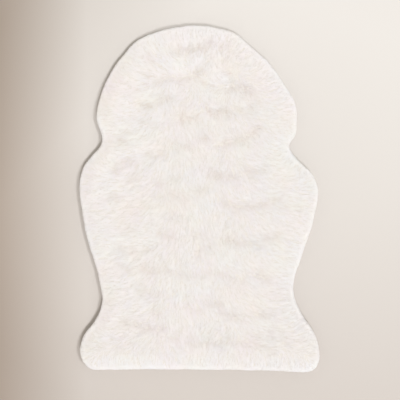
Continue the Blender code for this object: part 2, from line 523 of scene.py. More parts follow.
@dataclass(frozen=True)
class Parting:
    """A furrow in which the combed wool parts and its deeper, creamier part shows, darkened with painted
    shade.

    Attributes:
        depth: How deep it is, as a share of the deepest ones.
        line: The points that it runs through, in millimetres from the middle of the rug.
        spacing: From one point to the next where its place is worked out.
        half_width: Its half width, where it is about 60% as deep as in its middle.
        fade: Over this stretch at either end it rises to the surface.
        end_parts: Its ends are blunt: of so many parts of that rise, the last one is left out.
        widest: It reaches this many half widths to either side, where nothing is left of it.
    """

    depth: float
    line: tuple[tuple[int, int], ...]
    spacing: float = 3 * MM
    half_width: float = 8.8 * MM
    fade: float = 14 * MM
    end_parts: int = 3
    widest: float = 3.5

    def profile(self, places: np.ndarray, wander: np.ndarray) -> np.ndarray:
        """How deep it is at some places, as a share of the deepest partings.

        Args:
            places: Points in plan.
            wander: Waves that set it off its line a little, for each of its points along and across.

        Returns:
            One share for each place.
        """
        corners = np.array(self.line) * MM
        steps = np.linalg.norm(np.diff(corners, axis=0), axis=1)
        along = np.concatenate([[0.0], np.cumsum(steps)])
        at = np.linspace(0.0, along[-1], max(int(along[-1] / self.spacing), 2))
        points = np.stack([np.interp(at, along, corners[:, axis]) for axis in (0, 1)], axis=1)
        points[:, 1] += wander[: len(at), 0]
        to_end = np.minimum(at, along[-1] - at) + self.fade / self.end_parts
        depth = self.depth * smoothstep(0.0, self.fade, to_end) * (1 + wander[: len(at), 1])
        margin = self.widest * self.half_width
        near = ((places > points.min(axis=0) - margin) & (places < points.max(axis=0) + margin)).all(axis=1)
        gap = np.linalg.norm(places[near, None] - points, axis=2)
        share = np.zeros(len(places))
        share[near] = (depth * np.exp(-0.5 * (gap / self.half_width) ** 2)).max(axis=1)
        return share


# The partings run across the rug in wavy rows, from the head down to the hem. For each: its depth, and the
# points that it runs through.
PARTINGS = tuple(
    Parting(depth, tuple(line))
    for depth, *line in (
        (0.9, (-78, 384), (-50, 394), (-25, 393), (5, 393), (18, 400), (32, 412)),
        (0.5, (-150, 376), (-132, 362), (-115, 358)),
        (0.4, (42, 392), (60, 403), (78, 408)),
        (1.0, (-126, 299), (-100, 308), (-72, 311), (-38, 311), (-14, 321), (2, 336), (6, 350)),
        (0.4, (-172, 279), (-148, 290), (-126, 299)),
        (0.5, (-152, 324), (-134, 314)),
        (0.5, (62, 338), (74, 318), (78, 300)),
        (0.6, (92, 322), (108, 326)),
        (0.4, (4, 300), (32, 292), (60, 291)),
        (1.0, (66, 276), (92, 283), (115, 278), (142, 274)),
        (0.8, (144, 262), (154, 246), (148, 232)),
        (1.0, (18, 226), (48, 214), (76, 216), (102, 225), (128, 226), (150, 230)),
        (0.7, (-122, 250), (-96, 252), (-76, 256)),
        (0.5, (-176, 250), (-152, 237), (-124, 235)),
        (0.85, (-58, 199), (-36, 200), (-12, 207)),
        (0.45, (-174, 197), (-152, 190), (-126, 185)),
        (1.0, (8, 152), (32, 144), (62, 141), (92, 147), (118, 148), (142, 163), (157, 178)),
        (0.45, (164, 212), (168, 190)),
        (0.8, (-228, 153), (-202, 145)),
        (0.5, (-206, 172), (-186, 170)),
        (0.95, (-157, 116), (-130, 110), (-92, 109)),
        (0.85, (-66, 122), (-42, 127), (-26, 134)),
        (1.0, (-220, 98), (-202, 93), (-182, 96)),
        (0.9, (-234, 71), (-214, 69)),
        (0.6, (-172, 84), (-166, 72)),
        (0.8, (-192, 44), (-170, 43)),
        (0.95, (22, 61), (48, 54), (76, 50), (104, 52)),
        (0.85, (118, 63), (150, 66), (182, 75)),
        (0.5, (-116, 27), (-84, 37), (-54, 48)),
        (0.7, (-12, 11), (8, 14), (28, 22)),
        (0.55, (-80, 14), (-62, -4), (-36, -13)),
        (0.6, (-116, -8), (-94, -8)),
        (0.6, (-252, -8), (-236, 0), (-214, 4)),
        (1.0, (56, -16), (88, -27), (112, -26), (150, -20), (184, -16), (200, -3), (222, 0)),
        (0.4, (-204, -24), (-170, -34), (-132, -28), (-100, -22)),
        (0.5, (-102, -49), (-76, -50), (-52, -52)),
        (0.45, (-216, -86), (-190, -82), (-168, -78)),
        (0.75, (-114, -94), (-86, -103), (-64, -106)),
        (0.75, (-16, -102), (14, -104)),
        (0.95, (56, -111), (80, -115), (110, -122), (132, -120), (158, -116)),
        (0.8, (162, -106), (190, -104), (218, -99)),
        (0.7, (38, -117), (16, -131), (-6, -143), (-2, -158)),
        (0.8, (-228, -124), (-198, -136)),
        (0.5, (-198, -136), (-160, -138), (-116, -136)),
        (0.4, (216, -27), (250, -30), (282, -26)),
        (0.6, (-230, -172), (-206, -180), (-186, -192)),
        (0.85, (-158, -186), (-140, -190), (-120, -192)),
        (0.6, (-120, -192), (-62, -196), (-30, -208), (10, -203), (50, -200), (90, -212), (124, -212)),
        (0.8, (140, -203), (168, -208), (192, -212)),
        (0.45, (-178, -240), (-150, -248), (-120, -255), (-86, -261)),
        (0.65, (-38, -289), (-10, -288), (8, -291)),
        (0.85, (12, -262), (34, -276), (56, -282), (62, -300), (82, -308), (122, -316)),
        (0.9, (142, -300), (166, -300), (194, -306)),
        (0.6, (-134, -290), (-112, -304)),
        (0.95, (-228, -315), (-200, -321), (-174, -323), (-150, -336), (-122, -343), (-96, -342)),
        (0.55, (-40, -359), (-12, -363)),
        (0.5, (-66, -364), (-60, -386)),
        (0.7, (-34, -379), (0, -384), (42, -378), (92, -378), (150, -378), (182, -388), (204, -388)),
        (0.5, (128, -354), (160, -363), (192, -354), (222, -352), (244, -376)),
        (0.4, (-222, -386), (-198, -392)),
    )
)


@dataclass
class Cut:
    """The rug's outline as it was cut, read from the tips of the solid's locks.

    Attributes:
        tip_ceiling: A lock's tip is where the wall over the floor is lower than this.
        tip_draw: How far the tips end inside the outline, on average.
        samples: Points of the smooth outline for each tip.
        ring_keep: A point inside is kept if it lies at least this share of its depth inside the whole cut.
        level: A face belongs to the underside if its normal points down by more than this share.
    """

    tip_ceiling: float = 18 * MM
    tip_draw: float = 0.5 * MM
    samples: int = 10
    ring_keep: float = 0.93
    level: float = 0.9
    line: np.ndarray = field(init=False)
    outward: np.ndarray = field(init=False)
    tree: KDTree = field(init=False)

    def read(self, solid: bmesh.types.BMesh) -> None:
        """Finds the outline.

        Args:
            solid: The CAD solid, with its loose triangles merged.
        """
        tips = np.array(self.tips_in_order(solid))
        tips = (np.roll(tips, 1, axis=0) + 2 * tips + np.roll(tips, -1, axis=0)) / 4
        if self.signed_area(tips) > 0:
            tips = tips[::-1]
        # A closed curve through all tips: their waves, read at more places.
        count = len(tips)
        waves = np.fft.fft(tips[:, 0] + 1j * tips[:, 1])
        spread = np.zeros(count * self.samples, complex)
        half = count // 2
        spread[:half] = waves[:half]
        spread[-half:] = waves[-half:]
        curve = np.fft.ifft(spread) * self.samples
        line = np.stack([curve.real, curve.imag], axis=1)
        ahead = unit(np.roll(line, -1, axis=0) - np.roll(line, 1, axis=0))
        self.outward = np.stack([-ahead[:, 1], ahead[:, 0]], axis=1)
        self.line = line + self.outward * self.tip_draw
        self.tree = KDTree(len(self.line))
        for index, (x, y) in enumerate(self.line):
            self.tree.insert((x, y, 0.0), index)
        self.tree.balance()

    def tips_in_order(self, solid: bmesh.types.BMesh) -> list[tuple[float, float]]:
        """Walks round the flat underside and keeps the corners that lie under a tip.

        Args:
            solid: The merged CAD solid.

        Returns:
            The tips' places, in order round the rug.
        """
        under = {f for f in solid.faces if f.normal.z < -self.level}
        foot = [e for e in solid.edges if len(under.intersection(e.link_faces)) == 1]
        ways: dict[bmesh.types.BMVert, list[bmesh.types.BMVert]] = {}
        for edge in foot:
            first, second = edge.verts
            ways.setdefault(first, []).append(second)
            ways.setdefault(second, []).append(first)
        start = foot[0].verts[0]
        before, here = start, ways[start][0]
        tips = []
        while here is not start:
            if self.wall_height(here) < self.tip_ceiling:
                tips.append((here.co.x, here.co.y))
            before, here = here, next(v for v in ways[here] if v is not before)
        if self.wall_height(start) < self.tip_ceiling:
            tips.append((start.co.x, start.co.y))
        return tips

    def wall_height(self, corner: bmesh.types.BMVert) -> float:
        """How high the wall stands over a corner of the underside."""
        ends = [e.other_vert(corner).co for e in corner.link_edges]
        return max((c.z for c in ends if (c - corner.co).xy.length < SAME_PLACE), default=math.inf)

    @staticmethod
    def signed_area(line: np.ndarray) -> float:
        """The area in a closed line, negative if it runs clockwise."""
        following = np.roll(line, -1, axis=0)
        return float((line[:, 0] * following[:, 1] - following[:, 0] * line[:, 1]).sum() / 2)

    def nearest(self, x: float, y: float) -> tuple[float, int]:
        """Finds the outline point that is nearest to a place.

        Args:
            x: The place across the rug.
            y: The place along it.

        Returns:
            How far the place lies inside the cut there, and the outline point's number.
        """
        _, index, _ = self.tree.find((x, y, 0.0))
        gap = self.line[index] - (x, y)
        return float(gap @ self.outward[index]), index

    def ring(self, depth: float, spacing: float) -> np.ndarray:
        """Points at even distances along the cut and a depth inside it.

        Args:
            depth: How far inside the cut they lie.
            spacing: The distance from one to the next along the cut.

        Returns:
            Their places in plan, without those that a tight corner folds over.
        """
        places = self.even_places(spacing)
        points = self.line[places] - self.outward[places] * depth
        return np.array([p for p in points if self.nearest(*p)[0] > self.ring_keep * depth])

    def even_places(self, spacing: float) -> np.ndarray:
        """Numbers of outline points at even distances along the cut.

        Args:
            spacing: The distance from one to the next.

        Returns:
            Whole numbers that index line and outward.
        """
        steps = np.linalg.norm(np.roll(self.line, -1, axis=0) - self.line, axis=1)
        along = np.concatenate([[0.0], np.cumsum(steps)])
        at = np.arange(0.0, along[-1], spacing)
        return np.searchsorted(along, at) % len(self.line)


@dataclass(frozen=True)
class Combing:
    """The way the wool leans: from the spine to the sides, away from the furrows, and outwards at the rim.

    Attributes:
        furrow_blur: How many times the wool's height is blurred before its slopes are read.
        furrow_slope: The wool leans away from a furrow in full where the slope is at least this steep.
        furrow_lean: How strongly it then does.
        furrow_ways: How much of that counts across the rug and along it.
        flank: From here to here, between the spine and the side, the lean to the side grows.
        aside: How strong that lean is on the flank.
        lengthwise: How strongly the wool leans towards the head, on most of the rug and at the head end.
            Less than 0 is towards the hem.
        turn: From here to here, between the middle and the head end, the first changes to the second.
        flank_loss: The share of the lengthwise lean that is lost on the flank.
        drift: How strongly the lean strays by chance.
        drift_blur: How many times that chance is blurred, which sets its width.
        outwards: How strongly the wool leans outwards at the cut.
        rim: From here to here inside the cut that gives way to the lean inside.
        blur: How many times the whole is blurred.
    """

    furrow_blur: int = 14
    furrow_slope: float = 0.1
    furrow_lean: float = 0.3
    furrow_ways: tuple[float, float] = (0.3, 1.0)
    flank: tuple[float, float] = (0.12, 0.72)
    aside: float = 1.5
    lengthwise: tuple[float, float] = (-0.75, 0.75)
    turn: tuple[float, float] = (0.45, 0.95)
    flank_loss: float = 0.6
    drift: float = 0.22
    drift_blur: int = 60
    outwards: float = 1.5
    rim: tuple[float, float] = (32 * MM, 74 * MM)
    blur: int = 3


@dataclass
class WoolForm:
    """The wool's height and the way it is combed, on an even grid over the rug.

    Attributes:
        cut: The outline.
        combing: The way the wool leans.
        pitch: The grid's spacing.
        margin: How far the grid reaches past the solid.
        evening: How many times what is read from the solid is blurred.
        rim_width: Stretch inside the cut over which the wool rounds over towards the floor.
        fullness: How full that rounding is: at 2 it is a quarter of an ellipse, and above that squarer.
        tip_height: Height of the wool right at the cut.
        trusted: Nearer to the cut than this, the height follows the rounding, not the solid's single locks.
        relief: Share of the solid's lumps and furrows that shows: long wool bridges a part of them.
        parting_depth: How deep the deepest partings lie under the wool round them.
        wander: How far a parting strays from its line, and its depth from the mean.
        wander_points: How many points of a parting this is drawn for. The longest one has fewer.
        wander_blur: How many times that chance is blurred, which sets its width.
        wisp_height: How far the long wisps that neighbouring locks form stand over or under the even wool.
        wisp_reach: From here to here inside the cut they grow to that height.
        wisp_steps: Steps of one pitch over which such a wisp runs either way.
        wisp_softness: How many times its pattern is blurred, which sets its width.
        seed: Start of the random drift in the combing.
    """

    cut: Cut
    combing: Combing = Combing()
    pitch: float = 3 * MM
    margin: float = 30 * MM
    evening: int = 2
    rim_width: float = 18 * MM
    fullness: float = 3.4
    tip_height: float = 24 * MM
    trusted: float = 31 * MM
    relief: float = 0.4
    parting_depth: float = 1.2 * MM
    wander: tuple[float, float] = (1.6 * MM, 0.18)
    wander_points: int = 300
    wander_blur: int = 4
    wisp_height: float = 0.35 * MM
    wisp_reach: tuple[float, float] = (0.0, 40 * MM)
    wisp_steps: int = 9
    wisp_softness: int = 2
    seed: int = 11
    low: np.ndarray = field(init=False)
    inside: np.ndarray = field(init=False)
    out: np.ndarray = field(init=False)
    height: np.ndarray = field(init=False)
    comb: np.ndarray = field(init=False)
    slope: np.ndarray = field(init=False)
    parted: np.ndarray = field(init=False)
    wisps: np.ndarray = field(init=False)

    def survey(self, solid: bmesh.types.BMesh) -> None:
        """Fills the grid from the solid.

        Args:
            solid: The merged CAD solid.
        """
        corners = np.array([v.co for v in solid.verts])
        self.low = corners.min(axis=0)[:2] - self.margin
        high = corners.max(axis=0)[:2] + self.margin
        columns, rows = (int(n) for n in np.ceil((high - self.low) / self.pitch))
        xs = self.low[0] + np.arange(columns) * self.pitch
        ys = self.low[1] + np.arange(rows) * self.pitch
        solid_faces = BVHTree.FromBMesh(solid)
        down = Vector((0.0, 0.0, -1.0))
        top = float(corners[:, 2].max()) + self.margin
        inside = np.empty((rows, columns))
        out = np.empty((rows, columns, 2))
        seen = np.empty((rows, columns))
        for row, y in enumerate(ys):
            for column, x in enumerate(xs):
                inside[row, column], index = self.cut.nearest(x, y)
                out[row, column] = self.cut.outward[index]
                hit = solid_faces.ray_cast((x, y, top), down)[0]
                seen[row, column] = hit.z if hit else self.tip_height
        self.inside = inside
        self.out = unit(softened(out, self.evening))
        places = np.stack(np.meshgrid(xs, ys), axis=-1)
        self.parted = self.partings(places)
        self.height = self.rounded(seen, places) - self.parted * self.parting_depth
        self.comb = self.combed(places)
        self.wisps = self.wisped(places)
        self.height += self.wisps * self.wisp_height * smoothstep(*self.wisp_reach, self.inside)
        self.slope = self.slopes(softened(self.height, 1))

    def slopes(self, values: np.ndarray) -> np.ndarray:
        """How steeply the values of a grid rise at each of its points, across the rug and along it."""
        return np.stack(np.gradient(values, self.pitch), axis=-1)[..., ::-1]

    def rise(self, inside: np.ndarray) -> np.ndarray:
        """The share of its full height that the wool has at a distance inside the cut."""
        short = 1 - np.clip(inside / self.rim_width, 0.0, 1.0)
        return (1 - short**self.fullness) ** (1 / self.fullness)

    def rounded(self, seen: np.ndarray, places: np.ndarray) -> np.ndarray:
        """The height of the wool, with one smooth rounding along the cut in place of single locks.

        Args:
            seen: The solid's own height at each grid point.
            places: The grid points.

        Returns:
            The height at each grid point.
        """
        seen = softened(seen, self.evening)
        level = float(np.median(seen[self.inside > self.trusted]))
        seen = level + (seen - level) * self.relief
        short = np.maximum(self.trusted - self.inside, 0.0)
        further_in = (places - self.out * short[..., None]).reshape(-1, 2)
        full = self.read(seen, further_in).reshape(seen.shape)
        share = self.rise(self.inside) / self.rise(np.maximum(self.inside, self.trusted))
        return self.tip_height + (full - self.tip_height) * share

    def partings(self, places: np.ndarray) -> np.ndarray:
        """How deep the wool is parted.

        Args:
            places: The grid points.

        Returns:
            The depth at each grid point, from 0 to about 1.
        """
        chance = np.random.default_rng(self.seed)
        plan = places.reshape(-1, 2)
        parted = np.zeros(len(plan))
        for parting in PARTINGS:
            waves = softened(chance.normal(size=(self.wander_points, 2)), self.wander_blur)
            waves = waves / waves.std(axis=0) * self.wander
            parted = np.maximum(parted, parting.profile(plan, waves))
        return parted.reshape(places.shape[:2])

    def combed(self, places: np.ndarray) -> np.ndarray:
        """The way the wool leans at each grid point.

        Args:
            places: The grid points.

        Returns:
            Unit vectors in plan.
        """
        way = self.combing
        uphill = self.slopes(softened(self.height, way.furrow_blur))
        steep = np.linalg.norm(uphill, axis=-1, keepdims=True)
        from_furrow = unit(uphill) * np.minimum(steep / way.furrow_slope, 1.0) * way.furrow_ways
        half = np.abs(places).reshape(-1, 2).max(axis=0) - self.margin
        aside, ahead = np.moveaxis(places / half, -1, 0)
        flank = np.sign(aside) * smoothstep(*way.flank, np.abs(aside))
        below, at_head = way.lengthwise
        along = below + (at_head - below) * smoothstep(*way.turn, ahead)
        along *= 1 - way.flank_loss * np.abs(flank)
        sweep = np.stack([way.aside * flank, along], axis=-1)
        drift = softened(np.random.default_rng(self.seed).normal(size=places.shape), way.drift_blur)
        drift /= drift.std()
        inner = way.furrow_lean * from_furrow + sweep + way.drift * drift
        share = smoothstep(*way.rim, self.inside)[..., None]
        return unit(softened(self.out * (1 - share) * way.outwards + inner * share, way.blur))

    def wisped(self, places: np.ndarray) -> np.ndarray:
        """A random pattern drawn out along the combing, as the long wisps are, from about -2 to 2.

        Args:
            places: The grid points.

        Returns:
            The pattern's value at each grid point.
        """
        pattern = np.random.default_rng(self.seed).normal(size=places.shape[:2])
        pattern = softened(pattern, self.wisp_softness)
        drawn = np.zeros(pattern.size)
        for way in (-self.pitch, self.pitch):
            at = places.reshape(-1, 2)
            for _ in range(self.wisp_steps):
                at = at + way * self.read(self.comb, at)
                drawn += self.read(pattern, at)
        return (drawn / drawn.std()).reshape(pattern.shape)

    def read(self, values: np.ndarray, places: np.ndarray) -> np.ndarray:
        """Reads a grid between its points.

        Args:
            values: One of the grids, rows first.
            places: Points in plan, as rows of x and y.

        Returns:
            One value, or one vector, for each point.
        """
        rows, columns = values.shape[:2]
        at = (places - self.low) / self.pitch
        column = np.clip(at[:, 0].astype(int), 0, columns - 2)
        row = np.clip(at[:, 1].astype(int), 0, rows - 2)
        right = np.clip(at[:, 0] - column, 0.0, 1.0)
        up = np.clip(at[:, 1] - row, 0.0, 1.0)
        if values.ndim == 3:
            right, up = right[:, None], up[:, None]
        lower = values[row, column] * (1 - right) + values[row, column + 1] * right
        upper = values[row + 1, column] * (1 - right) + values[row + 1, column + 1] * right
        return lower * (1 - up) + upper * up

    def trimmed(self, places: np.ndarray, least: np.ndarray) -> np.ndarray:
        """Moves points that lie over the cut back inside it.

        Args:
            places: Points in plan.
            least: How far inside the cut each must lie at least.

        Returns:
            The moved points.
        """
        # A second time, because a moved point may lie near another part of the cut.
        for _ in range(2):
            short = np.maximum(least - self.read(self.inside, places), 0.0)
            places = places - self.read(self.out, places) * short[:, None]
        return places


class Region(Enum):
    """The parts of the rug whose wool is one piece each, and where each ends, as a share of its length."""

    HEM = 0.16
    WAIST = 0.33
    BACK = 0.51
    SHOULDERS = 0.69
    # A little more than 1, so that it takes in the wool that reaches past the solid.
    HEAD = 1.01


@dataclass(frozen=True)
class StrandShape:
    """A strand: a closed three-sided spike that tapers through rings to its tip, with a flat side upwards.

    Attributes:
        stations: Where its rings lie, from 0 at the root to 1, where the tip is.
        widths: The strand's width at each ring, as a share of its full width.
        sinks: How far each ring, and at last the tip, lies under the wool's surface.
        gather: How far apart a lock's strands lie at each ring and at the tip, as a share of the most.
        stiffness: How far its tip keeps the height of the wool at its root, and bridges what lies lower.
    """

    stations: tuple[float, ...]
    widths: tuple[float, ...]
    sinks: tuple[float, ...]
    gather: tuple[float, ...]
    stiffness: float

    def template(self) -> tuple[np.ndarray, np.ndarray, np.ndarray]:
        """One strand's mesh.

        Returns:
            For each vertex the number of its ring and its place on a ring of radius 1, and the triangles.
        """
        shape = bmesh.new()
        bmesh.ops.create_circle(shape, cap_ends=True, segments=3, radius=1.0)
        bmesh.ops.rotate(shape, verts=shape.verts, matrix=Matrix.Rotation(math.radians(180), 3, "Z"))
        bmesh.ops.reverse_faces(shape, faces=shape.faces)
        ring = list(shape.edges)
        for _ in self.stations[1:]:
            grown = bmesh.ops.extrude_edge_only(shape, edges=ring)["geom"]
            fresh = [g for g in grown if isinstance(g, bmesh.types.BMVert)]
            bmesh.ops.translate(shape, verts=fresh, vec=(0.0, 0.0, 1.0))
            ring = [g for g in grown if isinstance(g, bmesh.types.BMEdge) and g.is_boundary]
        bmesh.ops.pointmerge(shape, verts=fresh, merge_co=(0.0, 0.0, len(self.stations) - 1.0))
        bmesh.ops.triangulate(shape, faces=shape.faces)
        bmesh.ops.recalc_face_normals(shape, faces=shape.faces)
        shape.verts.index_update()
        places = np.array([v.co for v in shape.verts])
        triangles = np.array([[v.index for v in f.verts] for f in shape.faces])
        shape.free()
        return np.rint(places[:, 2]).astype(int), places[:, :2], triangles


@dataclass(frozen=True)
class RimRow:
    """A row of locks along the cut.

    Attributes:
        depth: How far inside the cut its roots lie.
        sunk: How far its roots lie under those of the wool inside.
        hang: How far its tips hang down under the wool's surface.
        unevenness: How much shorter than the longest one a strand may be, as a share.
    """

    depth: float = 0.0
    sunk: float = 0.0
    hang: float = 0.0
    unevenness: float = 0.35


# Inside the rug nothing hangs, and the strands of a lock differ more in length.
INSIDE = RimRow(unevenness=0.55)


@dataclass
class Fleece:
    """The strands, gathered in locks that follow the combing.

    Attributes:
        form: The wool's height and combing.
        pile: Shape of the strands inside the rug.
        fringe: Shape of the strands that reach the cut, blunt because they are trimmed.
        wisp: Shape of the single wisps that lie across the others.
        wisp_pitch: From one such wisp to the next.
        wisp_length: Length of such a wisp.
        wisp_width: Its full width.
        wisp_stray: How far such wisps stray by chance from the way to the side, as a share of it.
        lock_pitch: From one lock to the next inside the rug.
        lock_radius: How far a lock's strands spread round its middle at the roots.
        scatter: How far a lock inside may lie off its place in its row, as a share of the pitch.
        pile_inset: How far inside the cut the outermost of these locks are rooted.
        pile_strands: Strands to a lock inside the rug.
        pile_length: Length of such a strand over the surface.
        pile_width: Its full width. A real one is a wisp of fibres about as wide.
        pile_turn: How far these locks turn from the combing by chance, in radians.
        furrow_pitch: From one short lock to the next in the furrows.
        furrow_from: Where the wool is parted this deep, as a share, it gets short locks.
        furrow_length: Length of their strands.
        furrow_turn: How far they turn from the combing by chance.
        lips: A strand that would reach over a parting ends where it is this deep, at least and at most.
        lip_spread: How much the strands of a lock differ in that.
        shares: The shares of its reach at which a strand may end before a parting.
        cream: How creamy and dark the wool is in the deepest partings, as a share: partly its own cream and
        partly painted shade down in the furrow.
        cream_locks: The share of the locks beside a parting that show their creamy undersides.
        cream_lock: How creamy such a lock is, as a share, at the hem and at the head.
        cream_reach: Places along the rug from which and up to which it changes from the one to the other.
        cream_from: A lock is beside a parting where the wool is parted by this much, from and up to.
        white: How much room the tone leaves for the painted light that whitens the wool along the cut, as a
            share.
        edge_tones: How much painted light whitens the wool along the cut, as a share, by the way in which
            the cut faces
        there, in degrees from the rug's right-hand side. Less than 0 is painted shade, creamier and darker.
        edge_reach: From here to here inside the cut the wool changes to the tone of the rest.
        own_tone: How white a lock is beside its neighbours, at least and at most.
        rim_rows: The rows of locks along the cut, from the floor up and inwards.
        rim_pitch: From one lock to the next along the cut.
        rim_reach: Length of their strands before they are trimmed, as a share of the way to the cut.
        rim_strands: Strands to a lock there.
        rim_scatter: How far such a lock may lie off its place, as a share of the pitch.
        rim_turn: How far it turns by chance.
        lock_spread: How much longer or shorter than the mean a whole lock may be, as a share.
        trim: How unevenly the strands are trimmed: most end within this distance inside the cut.
        least_facing: A strand that runs along the cut counts as facing it by at least this share.
        least_reach: A strand that is trimmed still reaches this far.
        bows: How far the strands bow aside by chance, lock by lock and each on its own.
        proud: How far a tip may stand over or under the wool, lock by lock and each on its own.
        droop: How much more or less than the others a strand may hang, as a share.
        width_spread: How much wider or narrower than the mean a strand may be, as a share.
        lowest: A strand's middle line runs at least this high over the floor.
        clearance: Nothing of it lies lower than this.
        flatness: A strand's height as a share of its width.
        roll: How far a strand is rolled to one side by chance, in radians.
        sharp: A strand's long edges are sharper than this, and its bends aren't, in radians.
        seed: Start of all random draws.
    """

    form: WoolForm
    pile: StrandShape = StrandShape(
        stations=(0.0, 0.52, 1.0),
        widths=(1.0, 0.9),
        sinks=(2.0 * MM, 0.15 * MM, 0.1 * MM),
        gather=(1.0, 0.88, 0.6),
        stiffness=0.4,
    )
    fringe: StrandShape = StrandShape(
        stations=(0.0, 0.8, 1.0),
        widths=(1.0, 1.3),
        sinks=(3.0 * MM, 0.5 * MM, 0.5 * MM),
        gather=(1.0, 0.8, 0.7),
        stiffness=0.1,
    )
    wisp: StrandShape = StrandShape(
        stations=(0.0, 0.2, 0.45, 0.75, 1.0),
        widths=(0.6, 1.0, 1.0, 0.7),
        sinks=(1.2 * MM, -0.1 * MM, -0.4 * MM, -0.3 * MM, 0.2 * MM),
        gather=(1.0, 1.0, 1.0, 1.0, 1.0),
        stiffness=0.0,
    )
    wisp_pitch: float = 19 * MM
    wisp_length: float = 42 * MM
    wisp_width: float = 0.9 * MM
    wisp_stray: float = 0.35
    lock_pitch: float = 7.1 * MM
    lock_radius: float = 4.4 * MM
    scatter: float = 0.38
    pile_inset: float = 11 * MM
    pile_strands: int = 6
    pile_length: float = 25 * MM
    pile_width: float = 1.7 * MM
    pile_turn: float = math.radians(10)
    furrow_pitch: float = 6.0 * MM
    furrow_from: float = 0.4
    furrow_length: float = 13 * MM
    furrow_turn: float = math.radians(24)
    lips: tuple[float, float] = (0.3, 0.85)
    lip_spread: float = 0.06
    shares: tuple[float, ...] = (0.4, 0.55, 0.7, 0.85, 1.0)
    cream: float = 0.36
    cream_locks: float = 0.13
    cream_lock: tuple[float, float] = (0.22, 0.65)
    cream_reach: tuple[float, float] = (0.0, 230 * MM)
    cream_from: tuple[float, float] = (0.08, 0.4)
    # Painted light and shade along the rim: whiter at the hem and at the lower and upper right, creamier and
    # darker at the upper left, which faces away from the lamps.
    white: float = 0.2
    edge_tones: tuple[tuple[float, float], ...] = (
        (-165.0, -0.03),
        (-90.0, 0.22),
        (-50.0, 0.22),
        (0.0, 0.02),
        (42.0, 0.19),
        (85.0, 0.04),
        (105.0, 0.0),
        (145.0, -0.21),
        (172.0, -0.25),
    )
    edge_reach: tuple[float, float] = (12 * MM, 36 * MM)
    own_tone: tuple[float, float] = (0.94, 1.0)
    rim_rows: tuple[RimRow, ...] = (
        RimRow(depth=7 * MM, sunk=21 * MM, hang=23 * MM),
        RimRow(depth=7 * MM, sunk=17 * MM, hang=21.5 * MM),
        RimRow(depth=7 * MM, sunk=13 * MM, hang=18 * MM),
        RimRow(depth=7 * MM, sunk=8 * MM, hang=13 * MM),
        RimRow(depth=8 * MM, sunk=3 * MM, hang=8 * MM),
        RimRow(depth=11 * MM, sunk=0.0, hang=3.5 * MM, unevenness=0.12),
        RimRow(depth=17 * MM, sunk=0.0, hang=0.7 * MM, unevenness=0.12),
        RimRow(depth=26 * MM, sunk=0.0, hang=0.0, unevenness=0.12),
    )
    rim_pitch: float = 3.2 * MM
    rim_reach: float = 1.5
    rim_strands: int = 3
    rim_scatter: float = 0.5
    rim_turn: float = math.radians(6)
    lock_spread: float = 0.18
    trim: float = 0.5 * MM
    least_facing: float = 0.3
    least_reach: float = 4 * MM
    bows: tuple[float, float] = (1.6 * MM, 0.6 * MM)
    proud: tuple[float, float] = (0.12 * MM, 0.08 * MM)
    droop: float = 0.15
    width_spread: float = 0.25
    lowest: float = 0.9 * MM
    clearance: float = 0.2 * MM
    flatness: float = 0.28
    roll: float = 0.13
    sharp: float = math.radians(60)
    seed: int = 23
    chance: np.random.Generator = field(init=False)

    def __post_init__(self) -> None:
        """Starts the random draws."""
        self.chance = np.random.default_rng(self.seed)

    def build(self) -> list[bpy.types.Object]:
        """Makes all of the wool.

        Returns:
            One piece for each region inside the rug, two for the rim and one for the single wisps.
        """
        material = CombedWool().material()
        pieces = []
        paths, widths = (np.concatenate(both) for both in zip(self.pile_locks(), self.furrow_locks()))
        tips = paths[:, :, -1, 1].mean(axis=1)
        low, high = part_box(CAD_NODE)
        share = (tips - low.y) / (high.y - low.y)
        reached = 0.0
        for region in Region:
            chosen = (share >= reached) & (share < region.value)
            reached = region.value
            name = f"wool_{region.name.lower()}"
            pieces.append(self.joined(name, self.pile, paths[chosen], widths[chosen], material))
        paths, widths = self.rim_locks()
        on_left = paths[:, :, -1, 0].mean(axis=1) < (low.x + high.x) / 2
        for name, chosen in (("wool_rim_left", on_left), ("wool_rim_right", ~on_left)):
            pieces.append(self.joined(name, self.fringe, paths[chosen], widths[chosen], material))
        pieces.append(self.joined("wool_wisps", self.wisp, *self.stray_wisps(), material))
        return pieces

    def pile_locks(self) -> tuple[np.ndarray, np.ndarray]:
        """Lays the locks inside the rug.

        Returns:
            The strands' paths, by lock, strand, station and axis, and their widths by lock and strand.
        """
        middles = self.scattered(self.lock_pitch)
        middles = middles[self.form.read(self.form.inside, middles) > self.pile_inset]
        return self.combed_locks(middles, self.pile_turn, self.pile_length)

    def stray_wisps(self) -> tuple[np.ndarray, np.ndarray]:
        """Lays single long wisps across the wool.

        Returns:
            The wisps' paths and widths, as for the pile, with one wisp to a lock.
        """
        form = self.form
        middles = self.scattered(self.wisp_pitch)
        middles = middles[form.read(form.inside, middles) > form.trusted]
        aside = np.sign(middles[:, :1]) * (1.0, 0.0)
        aside = unit(aside + self.chance.normal(0.0, self.wisp_stray, middles.shape))
        paths, widths = self.strands(self.wisp, middles, aside, 1, self.wisp_length)
        return paths, widths * self.wisp_width / self.pile_width

    def furrow_locks(self) -> tuple[np.ndarray, np.ndarray]:
        """Lays short locks in the furrows, where the long ones lean away and the wool would be thin.

        Returns:
            The strands' paths and widths, as for the pile.
        """
        middles = self.scattered(self.furrow_pitch)
        middles = middles[self.form.read(self.form.parted, middles) > self.furrow_from]
        return self.combed_locks(middles, self.furrow_turn, self.furrow_length)

    def combed_locks(
        self, middles: np.ndarray, spread: float, length: float
    ) -> tuple[np.ndarray, np.ndarray]:
        """Lays locks of the pile along the combing.

        Args:
            middles: Each lock's middle at the roots, in plan.
            spread: How far they turn from the combing by chance.
            length: How far their strands reach.

        Returns:
            The strands' paths, by lock, strand, station and axis, and their widths by lock and strand.
        """
        heading = self.turned(unit(self.form.read(self.form.comb, middles)), spread)
        return self.strands(self.pile, middles, heading, self.pile_strands, length)

